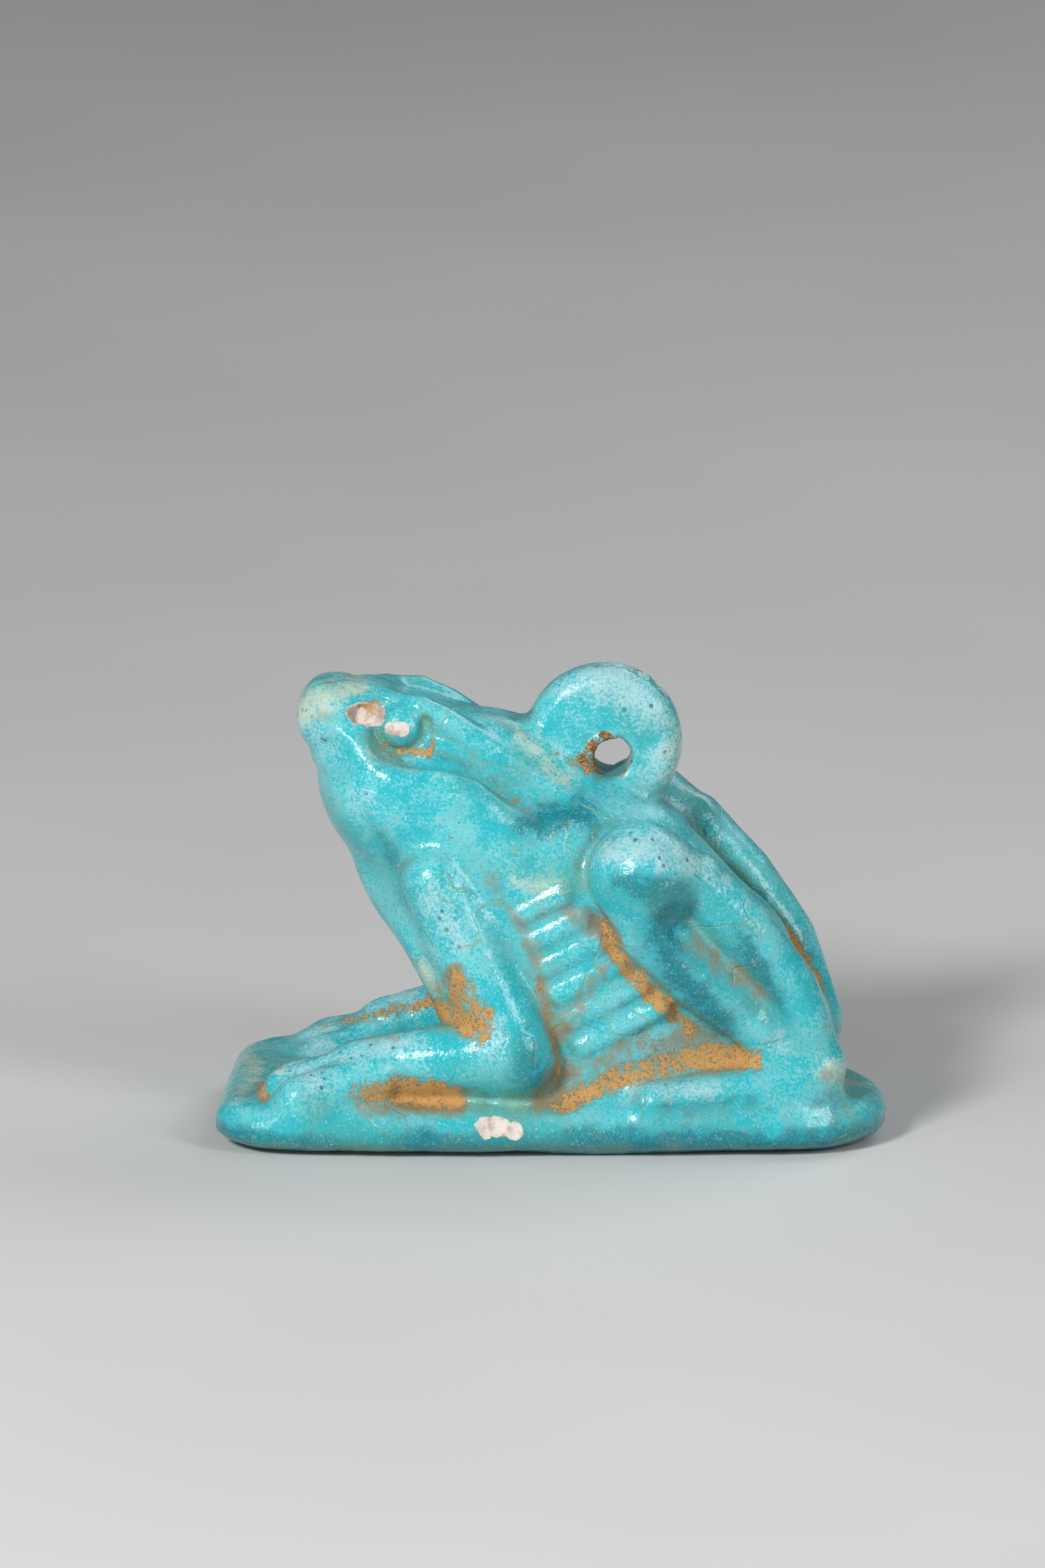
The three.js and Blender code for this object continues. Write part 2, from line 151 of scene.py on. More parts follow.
def plinth(x, y, z):
    """A slab, wide at the front and narrow at the back, whose lower edge rolls under."""
    back = (x + PLINTH_LENGTH / 2) / PLINTH_LENGTH
    taper = smooth_step(PLINTH_TAPER_START, PLINTH_TAPER_END, back)
    half = mix(PLINTH_FRONT_WIDTH, PLINTH_REAR_WIDTH, taper) / 2
    side = np.abs(y) - half
    front = -PLINTH_LENGTH / 2 - x + PLINTH_FRONT_SKEW * np.maximum(y + PLINTH_FRONT_WIDTH / 3, 0)
    blunt = rounded_meeting(side, front, PLINTH_FRONT_CORNER)
    outline = np.maximum(blunt, rounded_meeting(side, x - PLINTH_LENGTH / 2, PLINTH_REAR_CORNER))
    above = rounded_meeting(outline, z - PLINTH_THICKNESS, PLINTH_TOP_RADIUS)
    squeezed = outline * PLINTH_ROLL_HEIGHT / PLINTH_ROLL_WIDTH
    return np.maximum(above, rounded_meeting(squeezed, -z, PLINTH_ROLL_HEIGHT))


# The body seen from the side, from nose to rump and from breast to belly
SPINE = [
    mark(-39.3, 0, 65.3, 7.4),
    mark(-34, 0, 62, 10.6),
    mark(-28, 0, 55.5, 14.6),
    mark(-14.5, 0, 45, 20.4),
    mark(5.5, 0, 32.5, 22.6),
    mark(24, 0, 19.5, 18.8),
    mark(37, 0, 9.5, 12.6),
]
BREAST = [
    mark(-14.5, 0, 45, 20.4),
    mark(-7, 0, 20, 15.5),
    mark(4, 0, 2, 15),
    mark(26, 0, 0, 15),
    mark(38, 0, 0, 10),
]
HEAD_ROUNDING = 16 * SHARE
BACK_ROUNDING = 19 * SHARE
BREAST_ROUNDING = 7 * SHARE

# Half widths of the trunk, and the stretches over which they and its rounding change, in hundredths
SNOUT_HALF_WIDTH = 16
CHEST_HALF_WIDTH = 20.8
LOINS_NARROWING = 9
SNOUT_WIDENS = (-42, -10)
LOINS_NARROW = (6, 44)
HEAD_ENDS = (-28, -8)
BREAST_ENDS = (20, 40)

# The roof of the head and back is narrow. Cheeks and shoulders stand out below this line, given as
# places along the frog and heights.
LEDGE_AT = np.array([-50, -42, -36, -26, -14.5, -8, -3, 2, 12]) * SHARE
LEDGE_HEIGHT = FLOOR + np.array([72, 71, 69.5, 66, 60.5, 56, 53, 54, 62]) * SHARE
LEDGE_ROUNDING = 10 * SHARE
ROOF_HALF_WIDTH = 7.5 * SHARE
ROOF_SLOPE = 0.42
ROOF_ROUNDING = 5 * SHARE


def body(x, y, z):
    profile = smooth_min(limb(x, 0, z, SPINE), limb(x, 0, z, BREAST), FILLET["breast"])
    along = x / SHARE
    snout = mix(SNOUT_HALF_WIDTH, CHEST_HALF_WIDTH, smooth_step(*SNOUT_WIDENS, along))
    loins = LOINS_NARROWING * smooth_step(*LOINS_NARROW, along)
    side = np.abs(y) - (snout - loins) * SHARE
    high = mix(HEAD_ROUNDING, BACK_ROUNDING, smooth_step(*HEAD_ENDS, along))
    rounding = mix(BREAST_ROUNDING, high, smooth_step(*BREAST_ENDS, (z - FLOOR) / SHARE))
    ledge = z - np.interp(x, LEDGE_AT, LEDGE_HEIGHT)
    below = rounded_meeting(ledge, side, LEDGE_ROUNDING)
    flanks = np.maximum(rounded_meeting(profile, side, rounding), below)
    slope = np.abs(y) - ROOF_HALF_WIDTH + ROOF_SLOPE * profile
    roof = rounded_meeting(profile, slope, ROOF_ROUNDING)
    return smooth_min(flanks, roof, FILLET["roof"]) + FILLET["roof"] / 8


# Head: the full cheek, the eye in its socket, the slit behind it, the ridge over the brow and back,
# and the groove from the eye to the shoulder
CHEEK = mark(-30.5, 8, 53, 9.8)
EYE = mark(-28.2, 8.2, 65.2, 4.5)
SOCKET = mark(-28.6, 13.4, 65.2, 4.9)
EYE_SLIT = [mark(-23.8, 10.5, 67, 0.7), mark(-23.6, 11.5, 63.5, 0.7)]
BROW = [
    mark(-31, 6, 69.5, 1.9),
    mark(-25, 8, 68.6, 2.4),
    mark(-20, 8.4, 66, 2.8),
    mark(-8, 9, 58.6, 2.4),
    mark(4, 9.5, 51, 2),
]
NECK_GROOVE = [
    mark(-26, 13.5, 61, 1.6),
    mark(-14, 14, 58.5, 1.5),
    mark(-8, 15, 55, 1.3),
    mark(-3, 17, 53, 0.5),
]

# Foreleg: upper arm, elbow, forearm along the plinth and splayed toes
ELBOW = -6.5
ARM = [
    mark(-21.5, 16.8, 39.5, 6.4),
    mark(-16, 17.2, 29, 7.2),
    mark(-12, 18.8, 21, 6.4),
    mark(ELBOW, 21, 10, 6.8),
]
FOREARM = [mark(ELBOW, 21, 8.5, 7), mark(-20, 20.5, 7.8, 6), mark(-35, 19.5, 6, 4.6)]
OUTER_TOE_RADIUS = 4.2
OUTER_TOE = (PLINTH_FRONT_WIDTH / 2 + TOE_OVERHANG) / SHARE - OUTER_TOE_RADIUS
TOES = [
    [mark(-33, 18, 6, 3.6), mark(-46, 14.5, 2.4, 2.8)],
    [mark(-34, 20.5, 6, 4.2), mark(-47.5, 20.5, 2.2, 3.2)],
    [mark(-31, OUTER_TOE - 3.8, 5.4, 4.2), mark(-44.5, OUTER_TOE, 1.6, OUTER_TOE_RADIUS)],
]

# On the far side the paw lies lower and ends sooner, and the hind leg stands higher
FAR_PAW_DROP = 2.4 * SHARE
FAR_PAW_SHORT = 5 * SHARE
FAR_PAW_STRETCH = 30 * SHARE
FAR_LEG_RISE = 2.6 * SHARE

# Hind leg: knee, thigh, shin and a foot that lies forward along the plinth
THIGH = [
    mark(15, 19.8, 42, 8.8),
    mark(16.5, 19, 32.5, 6.6),
    mark(24.4, 16.8, 23.8, 6),
    mark(34, 13.5, 15.5, 5),
    mark(41, 11.5, 8, 5),
]
SHIN = [
    mark(15, 19.8, 42.5, 9),
    mark(24.5, 17.5, 40.5, 5.6),
    mark(33.5, 15.6, 31.2, 5.7),
    mark(41.8, 13.4, 20.7, 5.1),
    mark(47, 11.5, 7, 5),
]
FOOT = [mark(46, 13, 3, 4.8), mark(30, 18, 2, 4.2), mark(18.5, 22, 1.2, 3.4)]
HIP_GROOVE = [mark(20.8, 25.5, 35.5, 1.6), mark(28.5, 23, 27.6, 2.6), mark(38, 19.5, 18.5, 2)]

# Ribs on the flank, between elbow and thigh. The first and last are given by their place along the
# frog, height and half length.
RIBS = 6
RIB_SLOPE = 0.55
FIRST_RIB = (-2.5, 36, 3.5)
LAST_RIB = (12.1, 14, 6.6)


def rib(i):
    t = i / (RIBS - 1)
    x, z, half = [mix(first, last, t) for first, last in zip(FIRST_RIB, LAST_RIB)]
    return [
        mark(x - half, 19.5, z - half * RIB_SLOPE, 1.6),
        mark(x + half, 19.4 - t, z + half * RIB_SLOPE, 2),
    ]


# Disc that stands on the back, round in side view, with its hole a little below its middle
DISC_X = 7.7 * SHARE
DISC_Z = FLOOR + 61.7 * SHARE
HOLE_X = 8.9 * SHARE
HOLE_Z = FLOOR + 59.9 * SHARE


def disc(x, y, z):
    rim = np.hypot(x - DISC_X, z - DISC_Z) - DISC_DIAMETER / 2
    return rounded_meeting(rim, np.abs(y) - DISC_THICKNESS / 2, DISC_EDGE_RADIUS)


def ball(x, y, z, centre):
    return np.sqrt((x - centre[0]) ** 2 + (y - centre[1]) ** 2 + (z - centre[2]) ** 2) - centre[3]


def head(x, out, z, solid):
    full = smooth_min(solid, ball(x, out, z, CHEEK), FILLET["cheek"])
    cut = smooth_max(full, -ball(x, out, z, SOCKET), FILLET["socket"])
    cut = smooth_min(cut, limb(x, out, z, BROW), FILLET["brow"])
    cut = smooth_max(cut, -limb(x, out, z, NECK_GROOVE), FILLET["brow"])
    cut = smooth_min(cut, ball(x, out, z, EYE), FILLET["eye"])
    return smooth_max(cut, -limb(x, out, z, EYE_SLIT), FILLET["slit"])


def paw(x, y, z):
    out = np.abs(y)
    along = np.where(y > 0, np.clip((ELBOW * SHARE - x) / FAR_PAW_STRETCH, 0, 1), 0)
    px, pz = x - FAR_PAW_SHORT * along, z + FAR_PAW_DROP * along
    gap = limb(px, out, pz, FOREARM)
    for toe in TOES:
        gap = smooth_min(gap, limb(px, out, pz, toe), FILLET["toe"])
    return gap


def hind_leg(x, y, z):
    out = np.abs(y)
    lz = z - FAR_LEG_RISE * (y > 0)
    leg = smooth_min(limb(x, out, lz, THIGH), limb(x, out, lz, SHIN), FILLET["shin"])
    return smooth_max(leg, -limb(x, out, lz, HIP_GROOVE), FILLET["shin"])


def amulet(x, y, z):
    """The whole amulet as it was carved: below zero inside."""
    out = np.abs(y)
    solid = head(x, out, z, body(x, y, z))
    for i in range(RIBS):
        solid = smooth_min(solid, limb(x, out, z, rib(i)), FILLET["rib"])
    solid = smooth_min(solid, limb(x, out, z, ARM), FILLET["arm"])
    solid = smooth_min(solid, hind_leg(x, y, z), FILLET["leg"])
    solid = smooth_min(solid, disc(x, y, z), FILLET["disc"])
    solid = smooth_min(solid, paw(x, y, z), FILLET["paw"])
    solid = smooth_min(solid, limb(x, out, z, FOOT), FILLET["foot"])
    solid = np.maximum(smooth_min(solid, plinth(x, y, z), FILLET["plinth"]), -z)
    bore = HOLE_DIAMETER / 2 - np.hypot(x - HOLE_X, z - HOLE_Z)
    return smooth_max(solid, bore, HOLE_LIP)


# Wear and chips of this one amulet: places and sizes in millimetres
LUMP_HEIGHT = 0.045
LUMP_LENGTH = 3.4
RIPPLE_HEIGHT = 0.02
RIPPLE_LENGTH = 1.1
CHIP_ROUGHNESS = 0.09
CHIP_GRAIN = 0.62
NOSE_CHIP = [(-7.15, -1.95, 15.25, 0.44), (-6.7, -2.05, 15.32, 0.42)]
PLINTH_CHIP = [(-1.95, -5.95, 1.45, 0.72), (-1.2, -6.0, 1.2, 0.62)]
DISC_CHIP = [
    (1.5, 0.1, 17.08, 0.32),
    (2.2, 0, 17.3, 0.55),
    (3.1, -0.1, 17.2, 0.82),
    (3.9, 0, 16.45, 0.76),
    (0.7, -0.6, 17.15, 0.4),
]
RIM_CHIP = [(0.95, -1.25, 13.5, 0.26), (1.35, -1.25, 14.35, 0.2), (2.3, -1.3, 14.3, 0.2)]
CHIPS = NOSE_CHIP + PLINTH_CHIP + DISC_CHIP + RIM_CHIP


def waver(x, y, z, length):
    """A value that wanders between about -1 and 1 over that length."""
    k = 2 * math.pi / length
    a = np.sin(k * (x + 0.37 * y) + 1.3 * np.sin(0.61 * k * (z - 0.4 * x)))
    b = np.sin(k * (0.83 * y - 0.5 * z) + 1.7 + 1.1 * np.sin(0.57 * k * (x + y)))
    c = np.sin(k * (0.91 * z + 0.3 * x) + 0.6 + 1.2 * np.sin(0.67 * k * (y + 0.8 * z)))
    return (a + b + c) / 3


def broken(x, y, z, chip):
    """Distance to a rough-faced chip."""
    return ball(x, y, z, chip) + CHIP_ROUGHNESS * waver(x, y, z, CHIP_GRAIN)


# Earth in the rim of the hole: its lumps, and how the ring thins out towards the right
CRUST = [
    (0.86, -1.02, 13.72, 0.2),
    (1.08, -1.04, 13.22, 0.2),
    (1.5, -1.02, 14.45, 0.14),
    (1.16, -1.0, 14.1, 0.14),
]
CRUST_THICKNESS = 0.17
CRUST_DEPTH = 0.12
CRUST_STARTS = 0.35
CRUST_FULL = -0.75
CRUST_LEAN = 0.35
CRUST_FILLET = 0.12
CRUST_BEDDING = 0.08
CRUST_ROUGHNESS = 0.05
CRUST_GRAIN = 0.34


def crust(x, y, z):
    """Earth that clings in lumps to the left and upper rim of the hole."""
    rim = np.hypot(x - HOLE_X, z - HOLE_Z) - HOLE_DIAMETER / 2
    side = smooth_step(CRUST_STARTS, CRUST_FULL, x - HOLE_X - CRUST_LEAN * (z - HOLE_Z))
    gap = np.hypot(rim, y + DISC_THICKNESS / 2 - CRUST_DEPTH) - CRUST_THICKNESS * side
    for lump in CRUST:
        gap = smooth_min(gap, ball(x, y, z, lump), CRUST_FILLET)
    return gap + CRUST_ROUGHNESS * waver(x, y, z, CRUST_GRAIN)


def worn_amulet(x, y, z):
    """The amulet with the uneven face of worked paste, its chips and the earth round its hole."""
    lumps = LUMP_HEIGHT * (1 + waver(x, y, z, LUMP_LENGTH)) / 2
    ripples = RIPPLE_HEIGHT * (1 + waver(x, y, z, RIPPLE_LENGTH)) / 2
    solid = amulet(x, y, z) + lumps + ripples
    for chip in CHIPS:
        solid = np.maximum(solid, -broken(x, y, z, chip))
    return np.maximum(smooth_min(solid, crust(x, y, z), CRUST_BEDDING), -z)


def net_of(field, low, high, cell):
    """The surface where a field is zero, as quads with one point in each cell that it crosses."""
    axes = [np.arange(a, b + cell, cell) for a, b in zip(low, high)]
    values = np.empty([len(a) for a in axes], dtype=np.float32)
    for i, x in enumerate(axes[0]):
        y, z = np.meshgrid(axes[1], axes[2], indexing="ij")
        values[i] = field(np.full_like(y, x), y, z)
    inside = values < 0
    cells = [n - 1 for n in values.shape]
    total = np.zeros(cells + [3], dtype=np.float32)
    count = np.zeros(cells, dtype=np.float32)

    def corner(a, b, c, grid):
        return grid[a:a + cells[0], b:b + cells[1], c:c + cells[2]]

    for axis in range(3):
        others = [n for n in range(3) if n != axis]
        for u in (0, 1):
            for w in (0, 1):
                start = [0, 0, 0]
                start[others[0]], start[others[1]] = u, w
                end = list(start)
                end[axis] = 1
                a, b = corner(*start, values), corner(*end, values)
                crosses = corner(*start, inside) != corner(*end, inside)
                t = np.where(crosses, a / np.where(crosses, a - b, 1), 0)
                for n in range(3):
                    total[..., n] += crosses * (t if n == axis else start[n])
                count += crosses
    used = count > 0
    index = np.full(cells, -1, dtype=np.int64)
    index[used] = np.arange(used.sum())
    base = np.argwhere(used)
    points = (base + total[used] / count[used][:, None]) * cell + np.array(low)

    quads = []
    for axis in range(3):
        b, c = (axis + 1) % 3, (axis + 2) % 3
        first = np.take(inside, range(cells[axis]), axis)
        second = np.take(inside, range(1, cells[axis] + 1), axis)
        edges = np.argwhere(first != second)
        fits = (edges[:, b] > 0) & (edges[:, c] > 0) & (edges[:, b] < cells[b]) & (edges[:, c] < cells[c])
        edges = edges[fits]
        step_b, step_c = np.eye(3, dtype=int)[b], np.eye(3, dtype=int)[c]
        ring = [edges - step_b - step_c, edges - step_c, edges, edges - step_b]
        quad = np.stack([index[tuple(r.T)] for r in ring], 1)
        flip = ~inside[tuple(edges.T)]
        quad[flip] = quad[flip][:, ::-1]
        quads.append(quad)
    return points, np.concatenate(quads)


def slope_at(field, points):
    """Which way a field grows, and how fast, at each point."""
    parts = []
    for axis in range(3):
        ahead, behind = points.copy(), points.copy()
        ahead[:, axis] += SLOPE_STEP
        behind[:, axis] -= SLOPE_STEP
        parts.append((field(*ahead.T) - field(*behind.T)) / (2 * SLOPE_STEP))
    return np.stack(parts, 1)


def settled(field, points):
    """Points moved onto the surface of a field."""
    for _ in range(SETTLING_STEPS):
        slope = slope_at(field, points)
        square = np.maximum((slope ** 2).sum(1), LEAST_SQUARED_SLOPE)
        move = np.clip(field(*points.T) / square, -CELL / 2, CELL / 2)
        points = points - move[:, None] * slope
    return points


# Where earth, brown film, kinds of glaze, painted shade and bare paste lie, as chains of (place along the
# amulet, height, radius) in millimetres. The height is as the camera sees it: a point further from the
# middle plane shows lower.
LOOK_DOWN = math.tan(math.radians(CAMERA_ELEVATION))
DIRT = [
    [(-3.55, 5.67, 0.3), (-3.2, 4.64, 0.7), (-2.76, 3.8, 0.85), (-2.58, 3.29, 0.5)],
    [(-4.6, 4.3, 0.3), (-3.5, 4.0, 0.5)],
    [(-6.79, 1.12, 0.45), (-5.37, 1.25, 0.55), (-4.2, 1.1, 0.6), (-3.36, 0.95, 0.45)],
    [(0.3, 0.7, 0.25), (0.9, 1.05, 0.45), (2.47, 1.9, 0.45), (4.13, 2.4, 0.5), (5.79, 2.8, 0.6)],
    [(5.79, 2.73, 0.6), (7.2, 2.6, 0.4)],
    [(1.67, 7.34, 0.26), (2.02, 6.49, 0.36), (3.22, 5.15, 0.42), (4.76, 3.65, 0.4)],
    [(-10.3, 1.2, 0.3), (-10.2, 0.8, 0.25)],
    [(-10, 2.3, 0.2), (-9.1, 2.6, 0.2)],
    [(-2.56, 14.75, 0.06), (-0.15, 13.5, 0.16), (1.0, 13.0, 0.22)],
    [(-6.2, 13.75, 0.02), (-5.66, 13.5, 0.12), (-4.66, 13.55, 0.22), (-4.4, 14.1, 0.02)],
    [(-2.12, 12.13, 0.18), (-1.62, 11.89, 0.2), (-1.11, 11.47, 0.18)],
    [(0.3, 13.6, 0.2), (0.94, 13.32, 0.3), (1.37, 12.82, 0.25)],
    [(-4.1, 10.4, 0.1), (-3.8, 10.42, 0.1)],
    [(-0.5, 5.2, 0.06), (0.11, 2.93, 0.12), (0.29, 1.92, 0.2)],
    [(-7.0, 15.15, 0.12), (-6.6, 15.05, 0.32), (-6.4, 14.75, 0.12)],
]
FAR_DIRT = [
    [(-8.24, 3.3, 0.14), (-6.08, 3.9, 0.24), (-4.5, 4.3, 0.34)],
    [(7.84, 7.67, 0.3), (8.7, 6.25, 0.5), (9.4, 5.0, 0.5)],
]
FILM = [
    [(-7.0, 15.2, 0.1), (-6.55, 15.0, 0.3), (-6.4, 14.7, 0.1)],
    [(4.86, 6.74, 0.42), (6.05, 5.91, 0.5), (7.4, 5.09, 0.42)],
    [(10.65, 1.98, 0.4), (9.6, 2.1, 0.3)],
    [(-8.42, 3.23, 0.25), (-7.08, 3.0, 0.3), (-5.58, 3.13, 0.25)],
    [(-2.42, 8.98, 0.35), (-1.6, 7.78, 0.4), (-0.77, 6.58, 0.4), (-0.43, 4.75, 0.3), (0.11, 2.93, 0.3)],
    [(0.39, 7.83, 0.5), (1.99, 7.05, 0.6)],
    [(1.63, 5.82, 0.4), (0.3, 3.34, 0.5)],
    [(0.14, 1.71, 0.5), (2.49, 2.99, 0.5), (5.26, 3.47, 0.4)],
    [(-0.4, 0.8, 0.5), (0.6, 1.2, 0.5)],
    [(-4.88, 3.82, 0.4), (-4.3, 4.86, 0.3), (-3.43, 5.69, 0.3)],
    [(-8.35, 15.9, 0.3), (-6.96, 15.7, 0.2)],
    [(-8.12, 14.74, 0.3), (-9.1, 14.31, 0.1)],
    [(-4.57, 15.6, 0.1), (-2.56, 14.88, 0.15), (-1.16, 14.21, 0.1)],
    [(-8.6, 3.0, 0.2), (-6.07, 3.79, 0.25)],
    [(-6.8, 0.4, 0.3), (-3.4, 0.4, 0.3)],
]
PALE = [
    [(1.7, 9.9, 0.5), (2.9, 10.3, 0.7), (4.3, 9.9, 0.65), (6.0, 9.0, 0.1)],
    [(0.3, 16.0, 0.5), (1.8, 16.3, 0.9), (3.6, 14.9, 0.6)],
    [(3.3, 13.0, 0.5), (3.9, 14.6, 0.3)],
    [(-8.9, 1.9, 0.5), (-8.2, 1.4, 0.5)],
    [(-8.0, 2.2, 0.3), (-6.4, 2.7, 0.4), (-5.0, 2.9, 0.4)],
    [(-4.4, 8.2, 0.5), (-3.4, 6.7, 0.4)],
    [(-2.0, 2.6, 0.3), (-1.9, 3.6, 0.2)],
    [(-6.9, 11.7, 0.4)],
    [(-6.6, 13.5, 0.15), (-5.8, 13.1, 0.15), (-4.8, 13.25, 0.1)],
    [(2.6, 1.5, 0.3), (5.6, 1.5, 0.4)],
    [(-9.2, 14.6, 0.5), (-8.2, 13.6, 0.3)],
    [(8.0, 3.2, 0.3)],
]
# Painted shade in dark teal, partly glaze gathered in grooves: between cheek and arm, under the knee,
# behind the elbow, along grooves and beneath the foot.
DEEP_AND_SHADE_SPOTS = [
    [(-6.9, 11.6, -0.1), (-6.0, 9.8, 0.0), (-5.3, 8.0, -0.1)],
    [(2.3, 8.9, 0.5), (4.3, 8.4, 0.6), (3.5, 7.2, 0.5), (4.4, 5.6, 0.4), (6.0, 4.0, 0.3)],
    [(-1.0, 3.2, 0.5), (-0.8, 1.9, 0.6)],
    [(6.3, 7.5, 0.1), (7.4, 5.8, 0.2), (8.3, 4.2, 0.1)],
    [(0.9, 11.6, 0.5), (-1.5, 10.8, 0.3)],
    [(3.4, 0.8, 0.1), (7.0, 1.1, 0.1)],
]
SAND = [
    [(-9.1, 15.0, 0.7), (-7.2, 15.9, 0.4)],
    [(4.2, 14.6, 0.3), (4.1, 13.0, 0.4)],
    [(11.2, 2.1, 0.5), (9.8, 2.3, 0.4)],
    [(-4.7, 5.6, 0.4), (-4.2, 4.8, 0.3)],
    [(-1.6, 9.0, 0.1), (0.2, 8.6, 0.2)],
    [(-9.6, 1.9, 0.3)],
    [(-9.6, 3.1, 0.4), (-11, 1.0, 0.3)],
    [(0.2, 12.6, 0.3), (-1.4, 14.2, 0.2)],
]
BARE = [[(-6.0, 14.34, 0.24), (-5.6, 14.3, 0.28)]]

# The far side has less earth. Each mask fades over its edge, or between two values.
FAR_SHARE = 0.6
FAR_FADE = (-3, 0.5)
FAR_DIRT_FADE = (0, 1.6)
DIRT_EDGE = 0.35
FILM_EDGE = 0.4
GLAZE_EDGE = 0.7
BARE_EDGE = 0.12
CHIP_EDGE = (0.1, 0.02)
CRUST_EDGE = (0.16, 0.02)
# Painted shade: the glaze darkens towards the bottom of the plinth, between these two heights.
PAINTED_SHADE_HEIGHTS = (1.6, 0.5)

# Distances over which hollows and edges are felt
CAVITY_REACHES = (0.35, 0.8, 1.6)
RIDGE_DEPTH = 0.5


def blot(x, height, chains, softness):
    """One where a point lies within a chain of spots, falling to zero over the softness."""
    nearest = np.full(x.shape, np.inf)
    for chain in chains:
        spots = [(a, 0, b, r) for a, b, r in chain]
        if len(spots) == 1:
            nearest = np.minimum(nearest, ball(x, 0, height, spots[0]))
        else:
            nearest = np.minimum(nearest, limb(x, 0, height, spots))
    return smooth_step(softness, -softness, nearest)


def masks_of(points):
    """What the glaze needs to know at each point: how hollow or sharp it is, and what lies there."""
    slope = slope_at(worn_amulet, points)
    normals = slope / np.linalg.norm(slope, axis=1, keepdims=True)
    x, y, z = points.T
    hollow = 0
    for reach in CAVITY_REACHES:
        hollow = hollow + np.clip(1 - amulet(*(points + normals * reach).T) / reach, 0, 1)
    ridge = np.clip(1 + amulet(*(points - normals * RIDGE_DEPTH).T) / RIDGE_DEPTH, 0, 1)
    chip = np.full(x.shape, np.inf)
    for spot in NOSE_CHIP + PLINTH_CHIP:
        chip = np.minimum(chip, broken(x, y, z, spot))
    near = z - LOOK_DOWN * np.abs(y)
    dirt = blot(x, near, DIRT, DIRT_EDGE) * mix(1, FAR_SHARE, smooth_step(*FAR_FADE, y))
    far_dirt = blot(x, z + LOOK_DOWN * y, FAR_DIRT, DIRT_EDGE) * smooth_step(*FAR_DIRT_FADE, y)
    clinging = smooth_step(*CRUST_EDGE, crust(x, y, z))
    bare = blot(x, near, BARE, BARE_EDGE) * (y < 0)
    return {
        "hollow": hollow / len(CAVITY_REACHES),
        "ridge": ridge,
        "dirt": np.maximum(np.maximum(dirt, far_dirt), clinging),
        "film": blot(x, near, FILM, FILM_EDGE),
        "pale": blot(x, near, PALE, GLAZE_EDGE),
        # Dark teal where glaze gathered in grooves, and painted shade under the knee, behind the elbow,
        # beneath the foot and low on the plinth.
        "deep_and_shade": np.maximum(blot(x, near, DEEP_AND_SHADE_SPOTS, GLAZE_EDGE), smooth_step(*PAINTED_SHADE_HEIGHTS, z)),
        "sand": blot(x, near, SAND, GLAZE_EDGE),
        "crust": clinging,
        "chip": np.maximum(smooth_step(*CHIP_EDGE, chip), bare),
    }


def make_frog():
    margin = 2 * CELL
    half_length = PLINTH_LENGTH / 2 + margin
    half_width = FROG_HALF_SPAN + margin
    top = DISC_Z + DISC_DIAMETER / 2 + margin
    low = (-half_length, -half_width, -margin)
    points, quads = net_of(worn_amulet, low, (half_length, half_width, top), CELL)
    points = settled(worn_amulet, points)
    points[:, 2] = np.maximum(points[:, 2], 0)
    mesh = bpy.data.meshes.new("frog")
    mesh.from_pydata((points * MM).tolist(), [], quads.tolist())
    mesh.shade_smooth()
    for name, values in masks_of(points).items():
        mesh.attributes.new(name, "FLOAT", "POINT").data.foreach_set("value", values.astype(np.float32))
    piece = bpy.data.objects.new("frog", mesh)
    bpy.context.collection.objects.link(piece)
    return piece


